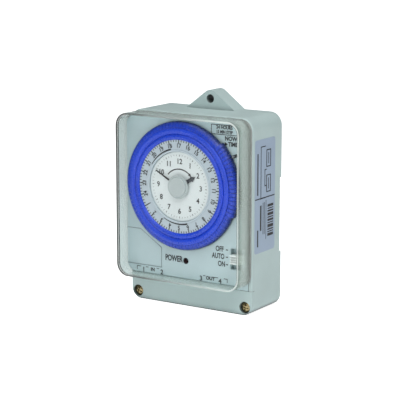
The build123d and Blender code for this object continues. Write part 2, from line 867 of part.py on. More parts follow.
def tab_carrier():
    bore_r = dial_r + press_gap
    seat_r = dial_r + dial_seat_width + shaft_gap
    top = Polyline((bore_r, 0, dial_seat_front), (bore_r, 0, dial_front))
    top += ThreePointArc((bore_r, 0, dial_front), (inner_ridge_r, 0, inner_ridge_front),
                         (valley_r, 0, valley_front))
    top += ThreePointArc((valley_r, 0, valley_front), (outer_ridge_r, 0, outer_ridge_front),
                         (lip_r, 0, lip_front))
    top += Polyline(
        (lip_r, 0, lip_front),
        (lip_r, 0, lip_back),
        (carrier_r, 0, lip_back),
        (carrier_r, 0, groove_front),
        (groove_bottom_r, 0, groove_front),
        (groove_bottom_r, 0, groove_back),
        (carrier_r, 0, groove_back),
        (carrier_r, 0, carrier_back),
        (seat_r, 0, carrier_back),
        (seat_r, 0, dial_seat_front),
        (bore_r, 0, dial_seat_front),
    )
    return Pos(0, dial_y) * revolve(make_face(top), Axis.Z)


def tab(index):
    tongue_back = groove_back + tab_tongue_clearance
    tongue_front = groove_front - tab_tongue_clearance
    tongue_r = groove_bottom_r + tab_tongue_clearance
    sweep = tab_pitch * (1 - tab_gap_share)
    nose_centre_r = tab_r - tab_nose_r
    nose_centre_z = tab_front - tab_nose_r
    nose_bend = tab_nose_r * cos(radians(45))
    side = Polyline(
        (nose_centre_r, 0, tab_front),
        (tab_head_r, 0, tab_front),
        (tab_head_r, 0, tongue_front),
        (tongue_r, 0, tongue_front),
        (tongue_r, 0, tongue_back),
        (tab_head_r, 0, tongue_back),
        (tab_head_r, 0, tab_back),
        (tab_r, 0, tab_back),
        (tab_r, 0, nose_centre_z),
    )
    side += ThreePointArc(
        (tab_r, 0, nose_centre_z),
        (nose_centre_r + nose_bend, 0, nose_centre_z + nose_bend),
        (nose_centre_r, 0, tab_front),
    )
    wedge = revolve(make_face(side), Axis.Z, sweep)
    middle = tab_pitch * (index + 0.5)
    throw = tab_throw if first_on_tab <= index <= last_on_tab else 0
    x, y = polar(throw, middle)
    return Pos(x, dial_y + y) * Rot(0, 0, 90 - middle - sweep / 2) * wedge


def tab_group(indices):
    return group([tab(index) for index in indices])


def clock_face():
    face = tube(face_r, post_r + press_gap, face_back, face_front)
    rim = edges_at(face, face_front).sort_by(SortBy.LENGTH)[-1]
    return Pos(0, dial_y) * chamfer(rim, face_edge)


def centre_post():
    post = tube(post_r, pipe_r + shaft_gap, front_plate_back, face_front)
    post += tube(post_flange_r, pipe_r + shaft_gap, front_plate_front,
                 front_plate_front + post_flange_thickness)
    return Pos(0, dial_y) * post


def hand(points, angle, hub_r, bore_r, back, thickness):
    blade = Polygon(*points, align=None) + Circle(hub_r) - Circle(bore_r)
    return Pos(0, dial_y) * Rot(0, 0, -angle) * slab(blade, back, back + thickness)


def hour_hand():
    neck = hour_hand_length - hour_hand_head
    points = (
        (-hour_hand_half_width, 0),
        (hour_hand_half_width, 0),
        (hour_hand_half_width, neck),
        (hour_hand_head_half_width, neck),
        (0, hour_hand_length),
        (-hour_hand_head_half_width, neck),
        (-hour_hand_half_width, neck),
    )
    return hand(points, hour_hand_angle, hand_hub_r, pipe_r + press_gap, hour_hand_back, hour_hand_thickness)


def minute_hand():
    points = (
        (-minute_hand_half_width, 0),
        (minute_hand_half_width, 0),
        (minute_hand_half_width / 2, minute_hand_length),
        (-minute_hand_half_width / 2, minute_hand_length),
    )
    return hand(points, minute_hand_angle, hand_hub_r, arbor_r + press_gap, minute_hand_back,
                minute_hand_thickness)


def setting_knob():
    knob = disc(knob_flange_r, knob_back, knob_flange_front) + disc(knob_r, knob_flange_front, knob_front)
    knob = fillet(edges_at(knob, knob_front), knob_edge_r)
    return Pos(0, dial_y) * (knob - disc(arbor_r + press_gap, knob_back - overrun, knob_bore_front))


def hour_pipe():
    return Pos(0, dial_y) * tube(pipe_r, arbor_r + shaft_gap, hour_wheel_back,
                                 hour_hand_back + hour_hand_thickness)


def minute_arbor():
    return Pos(0, dial_y) * disc(arbor_r, rear_plate_back, knob_bore_front - press_gap)


# Movement

def layshaft_place():
    x, y = polar(train_distance, layshaft_angle)
    return x, dial_y + y


def motor_place(extra=0):
    x, y = polar(train_distance + extra, motor_angle)
    return x, dial_y + y


def gear(teeth, mate, back, front, bore, toward, tooth_there):
    """A spur wheel with a tooth, or a gap, on its line of centres, which points at the angle toward."""
    module = 2 * train_distance / (teeth + mate)
    root_r = module * (teeth / 2 - dedendum_share)
    tip_r = module * (teeth / 2 + addendum_share)
    pitch = 360 / teeth
    start = toward if tooth_there else toward + pitch / 2
    points = []
    for number in range(teeth):
        middle = start + number * pitch
        points.append(polar(root_r, middle - tooth_root_share * pitch))
        points.append(polar(tip_r, middle - tooth_tip_share * pitch))
        points.append(polar(tip_r, middle + tooth_tip_share * pitch))
        points.append(polar(root_r, middle + tooth_root_share * pitch))
    return slab(Polygon(*points, align=None) - Circle(bore), back, front)


def spoked(wheel, teeth, mate, back, front, hub_r):
    """Opens a wheel's web, leaving its rim, hub and spokes."""
    rim_r = 2 * train_distance / (teeth + mate) * (teeth / 2 - dedendum_share) - wheel_rim
    window = Circle(rim_r) - Circle(hub_r)
    for number in range(spoke_count):
        window -= Rot(0, 0, 180 * number / spoke_count) * Rectangle(2 * rim_r + overrun, 2 * spoke_half_width)
    for opening in window.faces():
        wheel -= slab(opening, back - overrun, front + overrun)
    return wheel


def on_axis(shape):
    return Pos(0, dial_y) * shape


def on_layshaft(shape):
    return Pos(*layshaft_place()) * shape


def dial_wheel():
    return on_axis(gear(dial_wheel_teeth, dial_pinion_teeth, dial_wheel_back, dial_wheel_front,
                        dial_hub_r + press_gap, layshaft_angle, True))


def dial_pinion():
    return on_layshaft(gear(dial_pinion_teeth, dial_wheel_teeth, dial_wheel_back - pinion_overhang,
                            dial_wheel_front + pinion_overhang, layshaft_r + press_gap, layshaft_angle + 180,
                            False))


def hour_wheel():
    wheel = gear(hour_wheel_teeth, hour_pinion_teeth, hour_wheel_back, hour_wheel_front,
                 pipe_r + press_gap, layshaft_angle, True)
    return on_axis(spoked(wheel, hour_wheel_teeth, hour_pinion_teeth, hour_wheel_back, hour_wheel_front,
                          wheel_hub_r))


def hour_pinion():
    return on_layshaft(gear(hour_pinion_teeth, hour_wheel_teeth, hour_wheel_back - pinion_overhang,
                            hour_wheel_front + pinion_overhang, layshaft_r + press_gap, layshaft_angle + 180,
                            False))


def minute_wheel():
    wheel = gear(minute_wheel_teeth, cannon_teeth, minute_wheel_back, minute_wheel_front,
                 layshaft_r + press_gap, layshaft_angle + 180, False)
    return on_layshaft(spoked(wheel, minute_wheel_teeth, cannon_teeth, minute_wheel_back, minute_wheel_front,
                              wheel_hub_r))


def cannon_pinion():
    return on_axis(gear(cannon_teeth, minute_wheel_teeth, minute_wheel_back - pinion_overhang,
                        minute_wheel_front + pinion_overhang, arbor_r + press_gap, layshaft_angle, True))


def layshaft():
    x, y = layshaft_place()
    return disc(layshaft_r, rear_plate_back, dial_wheel_front + 2 * pinion_overhang, x, y)


def drive_wheel():
    wheel = gear(drive_wheel_teeth, motor_pinion_teeth, drive_wheel_back, drive_wheel_front,
                 arbor_r + shaft_gap, motor_angle, True)
    return on_axis(spoked(wheel, drive_wheel_teeth, motor_pinion_teeth, drive_wheel_back, drive_wheel_front,
                          wheel_hub_r))


def clutch_spring():
    """A dished washer between the drive wheel and the cannon pinion."""
    back = drive_wheel_front + shaft_gap
    return turned((
        (arbor_r + press_gap, back + clutch_rise),
        (clutch_r, back),
        (clutch_r, back + clutch_thickness),
        (arbor_r + press_gap, back + clutch_rise + clutch_thickness),
    ))


def motor_pinion():
    x, y = motor_place()
    pinion = gear(motor_pinion_teeth, drive_wheel_teeth, drive_wheel_back - pinion_overhang,
                  drive_wheel_front + pinion_overhang, press_gap, motor_angle + 180, False)
    pinion += disc(motor_shaft_r, rear_plate_back - motor_shaft_depth, drive_wheel_front)
    return Pos(x, y) * pinion


def motor_case():
    front = rear_plate_back - press_gap
    x, y = motor_place(motor_offset)
    case = disc(motor_r, front - motor_depth, front, x, y)
    case = chamfer(edges_at(case, front - motor_depth), motor_edge)
    shaft_x, shaft_y = motor_place()
    case += disc(motor_spigot_r, front - overrun, rear_plate_front, shaft_x, shaft_y)
    return case - disc(motor_shaft_r + shaft_gap, front - motor_shaft_depth - fit_gap, overrun, shaft_x,
                       shaft_y)


def plate_blank(back, front):
    middle_x = (plate_left + plate_right) / 2
    half = (plate_right - plate_left) / 2
    blank = slab(Pos(middle_x, 0) * outline(half, plate_low, plate_high, plate_corner_r, plate_corner_r),
                 back, front)
    for x, y in pillar_places():
        blank -= disc(pillar_bore_r, back - overrun, front + overrun, x, y)
    x, y = layshaft_place()
    return blank - disc(layshaft_r + shaft_gap, back - overrun, front + overrun, x, y)


def front_plate():
    plate = plate_blank(front_plate_back, front_plate_front)
    return plate - disc(post_r + press_gap, front_plate_back - overrun, front_plate_front + overrun, 0,
                        dial_y)


def rear_plate():
    plate = plate_blank(rear_plate_back, rear_plate_front)
    plate -= disc(arbor_r + shaft_gap, rear_plate_back - overrun, 0, 0, dial_y)
    x, y = motor_place()
    return plate - disc(motor_spigot_r + press_gap, rear_plate_back - overrun, 0, x, y)


def plate_pillars():
    one = tube(pillar_r, pillar_bore_r, rear_plate_front, front_plate_back)
    return group([Pos(x, y) * one for x, y in pillar_places()])


def plate_screws():
    length = panel_back - plate_boss_room - rear_plate_back
    one = Rot(180, 0, 0) * screw(plate_screw_head_r, plate_screw_head_height, plate_screw_r, length)
    return group([Pos(x, y, rear_plate_back) * one for x, y in pillar_places()])


def housing_screws():
    one = Rot(180, 0, 0) * screw(housing_screw_head_r, housing_screw_head_height, housing_screw_r,
                                 housing_screw_length)
    return group([Pos(x, y, -housing_screw_seat) * one for x, y in frame_bosses()])


# Trip lever, switches and electrics

def trip_lever():
    x, y = pivot_place()
    nose_x, nose_y = nose_place()
    nose_x, nose_y = nose_x - x, dial_y + nose_y - y
    nose_turn = degrees(atan2(nose_y, nose_x))
    tail_turn = degrees(atan2(-trip_tail_drop, plunger_x - x))
    tail_reach = hypot(trip_tail_drop, plunger_x - x)
    arms = Circle(trip_boss_r)
    for reach, turn in ((hypot(nose_x, nose_y), nose_turn), (tail_reach, tail_turn)):
        arms += Rot(0, 0, turn) * Pos(reach / 2, 0) * SlotCenterToCenter(reach, 2 * trip_half_width)
    lever = slab(arms - Circle(trip_pivot_r + shaft_gap), trip_back, trip_front)
    lever += disc(nose_r, trip_front - press_gap, nose_front, nose_x, nose_y)
    return Pos(x, y) * lever


def trip_pivot():
    x, y = pivot_place()
    return disc(trip_pivot_r, trip_back - trip_pivot_tail, panel_rise - panel_thickness / 2, x, y)


def snap_switch_case():
    high = switch_top()
    case = block(switch_left, switch_left + switch_width, high - switch_height, high, switch_back,
                 switch_front)
    case = fillet(case.edges().filter_by(Axis.Z), switch_edge_r)
    for x, y in switch_posts():
        case -= disc(switch_post_r + shaft_gap, switch_back - overrun, switch_front + overrun, x, y)
    return case - upright(plunger_r + shaft_gap, plunger_x, plunger_z, high - plunger_depth, high + overrun)


def snap_switch_plunger():
    high = switch_top()
    return upright(plunger_r, plunger_x, plunger_z, high - plunger_depth + plunger_proud,
                   high + plunger_proud)


def mode_slider():
    slider = block(slider_left, slider_right, slider_y - slider_half_height, slider_y + slider_half_height,
                   well_back + run_gap, panel_rise + slider_proud)
    for side in (-1, 0, 1):
        groove_y = slider_y + side * slider_half_height / 2
        groove_low = groove_y - slider_groove_width / 2
        slider -= block(slider_left - overrun, slider_right + overrun, groove_low,
                        groove_low + slider_groove_width,
                        panel_rise + slider_proud - slider_groove_depth, panel_rise + slider_proud + overrun)
    return slider + block(slider_stem_x - slider_stem_half_width, slider_stem_x + slider_stem_half_width,
                          slider_y - slider_stem_half_height, slider_y + slider_stem_half_height,
                          slider_stem_back, well_back + run_gap + press_gap)


def mode_switch_body():
    return block(mode_body_left, mode_body_right, slider_y - mode_body_half_height,
                 slider_y + mode_body_half_height, board_front, mode_body_front)


def power_lamp():
    lens = disc(lamp_r, 0, panel_rise + lamp_proud, lamp_x, lamp_y)
    lens = fillet(edges_at(lens, panel_rise + lamp_proud), lamp_r / 2)
    flange_front = panel_back - fit_gap
    lens += disc(lamp_flange_r, flange_front - lamp_flange_thickness, flange_front, lamp_x, lamp_y)
    return lens + disc(lamp_r, board_front, overrun, lamp_x, lamp_y)


def circuit_board():
    return block(-board_half_width, board_half_width, board_low, board_high, board_back, board_front)


def reserve_cell():
    cell = disc(cell_r, board_front, cell_front, cell_x, cell_y)
    return chamfer(edges_at(cell, cell_front), cell_edge)


def dropper_capacitor():
    body = block(capacitor_left, capacitor_left + capacitor_width, capacitor_low,
                 capacitor_low + capacitor_height,
                 board_front, capacitor_front)
    return fillet(edges_at(body, capacitor_front), capacitor_edge_r)


# Hand over: each piece turned into the part's frame and written to its own file

end_tabs = (first_on_tab - 1, first_on_tab, last_on_tab, last_on_tab + 1)
on_tabs = range(first_on_tab + 1, last_on_tab)
off_tabs = [index for index in range(tab_count) if index not in on_tabs and index not in end_tabs]

pieces = {
    "rear_housing": rear_housing(),
    "rail_clip": rail_clip(),
    "terminal_cover": terminal_cover(),
    "terminal_cover_screws": terminal_cover_screws(),
    "terminal_block": terminal_block(),
    "bus_strips": bus_strips(),
    "terminal_clamps": terminal_clamps(),
    "terminal_screws": terminal_screws(),
    "front_frame": front_frame(),
    "hinge_pins": hinge_pins(),
    "cell_door": cell_door(),
    "clear_cover": clear_cover(),
    "program_dial": program_dial(),
    "tab_carrier": tab_carrier(),
    "tabs_off": tab_group(off_tabs),
    "tabs_on": tab_group(on_tabs),
    "tab_off_before": tab(end_tabs[0]),
    "tab_on_first": tab(end_tabs[1]),
    "tab_on_last": tab(end_tabs[2]),
    "tab_off_after": tab(end_tabs[3]),
    "clock_face": clock_face(),
    "centre_post": centre_post(),
    "hour_hand": hour_hand(),
    "minute_hand": minute_hand(),
    "setting_knob": setting_knob(),
    "hour_pipe": hour_pipe(),
    "minute_arbor": minute_arbor(),
    "dial_wheel": dial_wheel(),
    "dial_pinion": dial_pinion(),
    "hour_wheel": hour_wheel(),
    "hour_pinion": hour_pinion(),
    "minute_wheel": minute_wheel(),
    "cannon_pinion": cannon_pinion(),
    "layshaft": layshaft(),
    "drive_wheel": drive_wheel(),
    "clutch_spring": clutch_spring(),
    "motor_case": motor_case(),
    "motor_pinion": motor_pinion(),
    "front_plate": front_plate(),
    "rear_plate": rear_plate(),
    "plate_pillars": plate_pillars(),
    "plate_screws": plate_screws(),
    "housing_screws": housing_screws(),
    "trip_lever": trip_lever(),
    "trip_pivot": trip_pivot(),
    "snap_switch_case": snap_switch_case(),
    "snap_switch_plunger": snap_switch_plunger(),
    "mode_slider": mode_slider(),
    "mode_switch_body": mode_switch_body(),
    "power_lamp": power_lamp(),
    "circuit_board": circuit_board(),
    "reserve_cell": reserve_cell(),
    "dropper_capacitor": dropper_capacitor(),
}

seat = Plane(origin=(0, (case_depth + cover_depth) / 2 - case_depth, 0), x_dir=(1, 0, 0), z_dir=(0, -1, 0))
os.makedirs("parts", exist_ok=True)
for name, piece in pieces.items():
    export_step(seat.location * piece, f"parts/{name}.step")
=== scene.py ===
import json
from math import atan2, cos, degrees, hypot, pi, radians, sin

import bpy
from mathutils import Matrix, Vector


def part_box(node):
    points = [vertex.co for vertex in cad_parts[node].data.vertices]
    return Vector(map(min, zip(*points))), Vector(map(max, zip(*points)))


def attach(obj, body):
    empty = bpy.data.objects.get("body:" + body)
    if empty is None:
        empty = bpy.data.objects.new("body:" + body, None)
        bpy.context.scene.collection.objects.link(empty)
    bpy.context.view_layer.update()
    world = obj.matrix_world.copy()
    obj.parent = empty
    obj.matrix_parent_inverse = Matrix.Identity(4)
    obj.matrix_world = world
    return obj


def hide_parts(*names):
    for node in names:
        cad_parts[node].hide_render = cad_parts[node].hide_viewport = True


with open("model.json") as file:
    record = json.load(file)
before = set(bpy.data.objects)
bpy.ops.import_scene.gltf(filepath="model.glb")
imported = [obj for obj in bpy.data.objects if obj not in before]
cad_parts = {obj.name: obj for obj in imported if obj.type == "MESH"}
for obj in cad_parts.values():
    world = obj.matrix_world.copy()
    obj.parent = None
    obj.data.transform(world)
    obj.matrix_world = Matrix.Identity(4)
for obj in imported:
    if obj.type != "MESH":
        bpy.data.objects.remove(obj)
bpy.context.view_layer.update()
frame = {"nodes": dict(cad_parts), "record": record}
nodes = frame["nodes"]
scene = bpy.context.scene
mm = 0.001
print("frame loaded:", len(nodes), "nodes")


# camera and light

cameraLook = {
    "place": (0.43692, -0.67640, 0.21598), "target": (0.00617, -0.00775, 0.05921),
    "lens": 137.92, "sensor": 36, "clipStart": 0.01,
}


def addCamera(look):
    bpy.ops.object.select_all(action="DESELECT")
    bpy.ops.object.camera_add(location=look["place"])
    camera = bpy.context.object
    camera.name = "photoCamera"
    camera.data.lens = look["lens"]
    camera.data.sensor_width = look["sensor"]
    camera.data.clip_start = look["clipStart"]
    aim = Vector(look["target"]) - Vector(look["place"])
    camera.rotation_euler = aim.to_track_quat("-Z", "Y").to_euler()
    scene.camera = camera


lightLook = {
    "sky": (0.96, 1.0, 1.0), "skyStrength": 0.16, "skyPaper": 1.0,
    "target": (0, 0, 0.055),   # the middle of the case
    "top": {"place": (0.05, -0.25, 0.95), "size": 0.9, "power": 5.6},
    "front": {"place": (0.25, -1.10, 0.55), "size": 0.8, "power": 3.3},
    "side": {"place": (0.26, -0.11, 0.38), "size": 0.26, "power": 0.50},
}


def addSoftbox(name, look, target):
    bpy.ops.object.light_add(type="AREA", location=look["place"])
    lamp = bpy.context.object
    lamp.name = name
    lamp.data.size = look["size"]
    lamp.data.energy = look["power"]
    aim = Vector(target) - Vector(look["place"])
    lamp.rotation_euler = aim.to_track_quat("-Z", "Y").to_euler()


# as bright as paper where it is looked at, but a weaker lamp to the object
def addPaperGlow(tree, socket, glow, paper):
    ray = tree.nodes.new("ShaderNodeLightPath")
    spread = tree.nodes.new("ShaderNodeMapRange")
    spread.inputs["To Min"].default_value = glow
    spread.inputs["To Max"].default_value = paper
    tree.links.new(ray.outputs["Is Camera Ray"], spread.inputs["Value"])
    tree.links.new(spread.outputs["Result"], socket)


def addStudio(look):
    world = bpy.data.worlds.new("studio")
    scene.world = world
    world.use_nodes = True
    sky = world.node_tree.nodes["Background"]
    sky.inputs["Color"].default_value = (*look["sky"], 1)
    addPaperGlow(world.node_tree, sky.inputs["Strength"], look["skyStrength"], look["skyPaper"])
    for name in ("top", "front", "side"):
        addSoftbox(name + "Softbox", look[name], look["target"])
    scene.view_settings.view_transform = "Standard"


floorLook = {
    "size": 9.0, "drop": 0.0001, "colour": (0.93, 0.94, 0.94, 1), "roughness": 0.9,
    "glowColour": (1, 1, 1, 1), "glow": 0.35, "paper": 1.0,
}


def addFloor(look):
    bpy.ops.mesh.primitive_plane_add(size=look["size"], location=(0, 0, -look["drop"]))
    floor = bpy.context.object
    floor.name = "studioFloor"
    paper = bpy.data.materials.new("floorPaper")
    paper.use_nodes = True
    shader = paper.node_tree.nodes["Principled BSDF"]
    shader.inputs["Base Color"].default_value = look["colour"]
    shader.inputs["Roughness"].default_value = look["roughness"]
    shader.inputs["Emission Color"].default_value = look["glowColour"]
    addPaperGlow(paper.node_tree, shader.inputs["Emission Strength"], look["glow"], look["paper"])
    floor.data.materials.append(paper)


addCamera(cameraLook)
addStudio(lightLook)
addFloor(floorLook)
print("studio ready")


# finishes

def startFinish(name):
    finish = bpy.data.materials.new(name)
    finish.use_nodes = True
    tree = finish.node_tree
    place = tree.nodes.new("ShaderNodeTexCoord")
    return finish, tree, tree.nodes["Principled BSDF"], place.outputs["Object"]


def addNoise(tree, place, scale, detail=2.0, stretch=None):
    noise = tree.nodes.new("ShaderNodeTexNoise")
    noise.inputs["Scale"].default_value = scale
    noise.inputs["Detail"].default_value = detail
    if stretch:
        mapping = tree.nodes.new("ShaderNodeMapping")
        mapping.inputs["Scale"].default_value = stretch
        tree.links.new(place, mapping.inputs["Vector"])
        place = mapping.outputs["Vector"]
    tree.links.new(place, noise.inputs["Vector"])
    return noise.outputs["Fac"]


# noise stays mostly between 0.3 and 0.7
def addRange(tree, value, low, high, fromLow=0.3, fromHigh=0.7):
    spread = tree.nodes.new("ShaderNodeMapRange")
    spread.inputs["From Min"].default_value = fromLow
    spread.inputs["From Max"].default_value = fromHigh
    spread.inputs["To Min"].default_value = low
    spread.inputs["To Max"].default_value = high
    tree.links.new(value, spread.inputs["Value"])
    return spread.outputs["Result"]


def mixValues(tree, factor, first, second, kind="FLOAT"):
    mix = tree.nodes.new("ShaderNodeMix")
    mix.data_type = kind
    tree.links.new(factor, mix.inputs["Factor"])
    for side, value in (("A", first), ("B", second)):
        if hasattr(value, "is_output"):   # another node's result
            tree.links.new(value, mix.inputs[side])
        else:
            mix.inputs[side].default_value = value
    return mix.outputs["Result"]


def addTint(tree, factor, first, second):
    return mixValues(tree, factor, (*first, 1), (*second, 1), "RGBA")


def splitPlace(tree, place):
    split = tree.nodes.new("ShaderNodeSeparateXYZ")
    tree.links.new(place, split.inputs["Vector"])
    return split.outputs


def addBump(tree, shader, value, depth):
    bump = tree.nodes.new("ShaderNodeBump")
    bump.inputs["Distance"].default_value = depth
    tree.links.new(value, bump.inputs["Height"])
    tree.links.new(bump.outputs["Normal"], shader.inputs["Normal"])


# how the painted shade in hollows follows ambient occlusion
creviceShade = {"samples": 8, "closed": 0.1, "open": 0.75}


# painted shade: moulded corners, holes and recesses are darkened from ambient occlusion, as if shade fell in them
def addCrevice(tree, colour, reach, depth):
    hollow = tree.nodes.new("ShaderNodeAmbientOcclusion")
    hollow.samples = creviceShade["samples"]
    hollow.inputs["Distance"].default_value = reach
    opening = addRange(tree, hollow.outputs["AO"], 0, 1, creviceShade["closed"], creviceShade["open"])
    shade = addTint(tree, opening, [depth] * 3, [1.0] * 3)
    dim = tree.nodes.new("ShaderNodeMix")
    dim.data_type = "RGBA"
    dim.blend_type = "MULTIPLY"
    dim.inputs["Factor"].default_value = 1.0
    tree.links.new(colour, dim.inputs["A"])
    tree.links.new(shade, dim.inputs["B"])
    return dim.outputs["Result"]


# what a moulded look doesn't say for itself
mouldedUsual = {"cloud": 60, "cloudDetail": 3, "shade": 0.93, "grain": 2600, "depth": 0.00002, "bend": 1.5}


def mouldedFinish(name, ownLook):
    look = {**mouldedUsual, **ownLook}
    finish, tree, shader, place = startFinish(name)
    cloud = addRange(tree, addNoise(tree, place, look["cloud"], look["cloudDetail"]), 0, 1)
    colour = addTint(tree, cloud, look["colour"], [c * look["shade"] for c in look["colour"]])
    if "foot" in look:   # the lower flank lies in the ring's own shade
        rise = addRange(tree, splitPlace(tree, place)["Y"], 0, 1, *look["footRise"])
        colour = mixValues(tree, rise, (*look["foot"], 1), colour, "RGBA")
    # painted shade in corners, holes and recesses, from ambient occlusion
    if "crevice" in look:
        colour = addCrevice(tree, colour, *look["crevice"])
    tree.links.new(colour, shader.inputs["Base Color"])
    grain = addNoise(tree, place, look["grain"])
    tree.links.new(addRange(tree, grain, *look["roughness"]), shader.inputs["Roughness"])
    addBump(tree, shader, grain, look["depth"])
    shader.inputs["IOR"].default_value = look["bend"]
    return finish


metalUsual = {"cloud": 400, "cloudDetail": 3, "dull": 0.72, "lineDetail": 4, "depth": 0.00001}


def metalFinish(name, ownLook):
    look = {**metalUsual, **ownLook}
    finish, tree, shader, place = startFinish(name)
    lines = addNoise(tree, place, look["lines"], look["lineDetail"], look["stretch"])
    cloud = addRange(tree, addNoise(tree, place, look["cloud"], look["cloudDetail"]), 0, 1)
    colour = addTint(tree, cloud, look["colour"], [c * look["dull"] for c in look["colour"]])
    # painted shade in hollows such as the cross recess, from ambient occlusion
    if "crevice" in look:
        colour = addCrevice(tree, colour, *look["crevice"])
    tree.links.new(colour, shader.inputs["Base Color"])
    tree.links.new(addRange(tree, lines, *look["roughness"]), shader.inputs["Roughness"])
    shader.inputs["Metallic"].default_value = 1.0
    addBump(tree, shader, lines, look["depth"])
    return finish


def vectorStep(tree, operation, first, second=None):
    step = tree.nodes.new("ShaderNodeVectorMath")
    step.operation = operation
    tree.links.new(first, step.inputs[0])
    if second is not None:
        step.inputs[1].default_value = second
    return step.outputs["Value"] if operation == "LENGTH" else step.outputs["Vector"]


def addShadeRamp(tree, value, stops):
    ramp = tree.nodes.new("ShaderNodeValToRGB")
    elements = ramp.color_ramp.elements
    for number, (share, shade) in enumerate(stops):
        stop = elements[0] if number == 0 else elements.new(share)
        stop.position = share
        stop.color = (*shade, 1)
    elements.remove(elements[-1])   # the white end that a new ramp has
    tree.links.new(value, ramp.inputs["Fac"])
    return ramp.outputs["Color"]


# distance from the window's rounded rectangle, counted from the middles of its corners
def windowOutline(tree, place, middle, straight):
    spread = vectorStep(tree, "ABSOLUTE", vectorStep(tree, "SUBTRACT", place, middle))
    spread = vectorStep(tree, "MULTIPLY", spread, (1, 0, 1))
    spread = vectorStep(tree, "SUBTRACT", spread, (straight.x, 0, straight.z))
    return vectorStep(tree, "LENGTH", vectorStep(tree, "MAXIMUM", spread, (0, 0, 0)))


# the cover is polished at its window, frosted on its walls, and thick to look through where the two meet; painted
# light: the window's edge is painted dark on the hinge side and light as a highlight on the free side, the hinge
# wall is painted darker, and the free wall carries painted bands of shade and highlight
def clearFinish(name, look):
    finish, tree, shader, place = startFinish(name)
    low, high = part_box("clear_cover")
    corner = look["corner"]
    middle = (low + high) / 2 + Vector(look["windowShift"])
    straight = (high - low) / 2 - Vector((corner, 0, corner))
    outline = windowOutline(tree, place, middle, straight)
    borderStart = corner - look["border"]
    border = addRange(tree, outline, 0, 1, borderStart, borderStart + look["borderFade"])
    split = splitPlace(tree, place)
    wallStart = low.y + look["wallFrom"]
    wall = addRange(tree, split["Y"], 0, 1, wallStart, wallStart + look["wallFade"])

    # painted light: the edge band is painted dark on the hinge side and light as a highlight on the free side
    edgeSide = addRange(tree, split["X"], 0, 1, *look["hingeShade"])
    edge = addTint(tree, edgeSide, look["hingeEdgeShade"], look["freeEdgeHighlight"])
    front = mixValues(tree, border, (*look["window"], 1), edge, "RGBA")
    # painted shade: the wall on the hinge side is painted darker
    hingeSide = addRange(tree, split["X"], 0, 1, *look["hingeWallShade"])
    otherWalls = addTint(tree, hingeSide, look["shadedHingeWall"], look["plainWall"])
    # painted shade and highlight: bands along the free wall's depth, with a white highlight at its rear edge
    freeSide = addRange(tree, split["X"], 0, 1, *look["freeWallFrom"])
    freeWallLightBands = addShadeRamp(tree, addRange(tree, split["Y"], 0, 1, low.y, high.y), look["freeWallLightBands"])
    walls = mixValues(tree, freeSide, otherWalls, freeWallLightBands, "RGBA")
    tree.links.new(mixValues(tree, wall, front, walls, "RGBA"), shader.inputs["Base Color"])

    for socket in ("Alpha", "Roughness", "Transmission Weight"):
        windowValue, edgeValue, wallValue = look[socket]
        frontValue = addRange(tree, border, windowValue, edgeValue, 0, 1)
        tree.links.new(mixValues(tree, wall, frontValue, wallValue), shader.inputs[socket])
    shader.inputs["IOR"].default_value = look["bend"]
    return finish


# crevice: reach and darkness of the painted shade in hollows
greyLook = {
    "colour": (0.455, 0.57, 0.565), "roughness": (0.38, 0.52), "grain": 2400, "depth": 0.000025,
    "crevice": (0.006, 0.02),
}
panelLook = {
    "colour": (0.49, 0.625, 0.645), "roughness": (0.34, 0.48), "grain": 2800, "depth": 0.00002,
    "crevice": (0.002, 0.4),
}
clearLook = {
    "corner": 0.007, "windowShift": (0.0008, 0, 0.0003), "border": 0.0012, "borderFade": 0.00024,
    "wallFrom": 0.0014, "wallFade": 0.00028,   # wallFrom is more than the window's thickness
    "window": (0.96, 0.99, 0.98),
    # painted light: the hinge edge and hinge wall are painted shade, the free edge a painted highlight
    "hingeShade": (-0.034, 0.03), "hingeEdgeShade": (0.05, 0.05, 0.046), "freeEdgeHighlight": (0.88, 0.94, 0.92),
    "hingeWallShade": (-0.0365, -0.030), "shadedHingeWall": (0.48, 0.625, 0.61), "plainWall": (0.80, 0.91, 0.88),
    "freeWallFrom": (0.030, 0.036),
    # painted bands of shade and highlight along the free wall, white at its rear edge
    "freeWallLightBands": (   # share of the depth from the front, shade
        (0.10, (0.22, 0.26, 0.23)), (0.26, (0.47, 0.54, 0.48)), (0.42, (0.85, 0.95, 0.90)),
        (0.70, (0.85, 0.95, 0.90)), (0.84, (0.50, 0.56, 0.51)), (0.91, (0.42, 0.47, 0.43)),
        (0.96, (0.95, 0.99, 0.97)),
    ),
    # window, edge, wall
    "Alpha": (0.04, 0.88, 0.66), "Roughness": (0.0, 0.05, 0.25), "Transmission Weight": (1.0, 0.4, 0.6),
    "bend": 1.12,
}
blueLook = {
    "colour": (0.016, 0.066, 0.66), "shade": 0.85, "roughness": (0.24, 0.34), "grain": 1800, "depth": 0.000012,
    "crevice": (0.0022, 0.28), "foot": (0.009, 0.021, 0.12), "footRise": (-0.0168, -0.0191),
}
dialLook = {"colour": (0.47, 0.555, 0.60), "shade": 0.97, "roughness": (0.35, 0.45), "grain": 3000, "depth": 0.00001}
faceLook = {"colour": (0.70, 0.77, 0.77), "shade": 0.97, "roughness": (0.35, 0.45), "grain": 3000, "depth": 0.00001}
knobLook = {"colour": (0.46, 0.53, 0.53), "roughness": (0.3, 0.42), "grain": 2200, "depth": 0.000012}
whiteLook = {"colour": (0.82, 0.90, 0.88), "roughness": (0.35, 0.48), "crevice": (0.0012, 0.35)}
gearLook = {"colour": (0.78, 0.77, 0.72), "roughness": (0.35, 0.5)}
clipLook = {"colour": (0.22, 0.24, 0.25), "roughness": (0.4, 0.55)}
wellLook = {"colour": (0.40, 0.50, 0.48), "roughness": (0.4, 0.55)}
blackLook = {"colour": (0.025, 0.026, 0.028), "shade": 0.7, "roughness": (0.4, 0.55)}
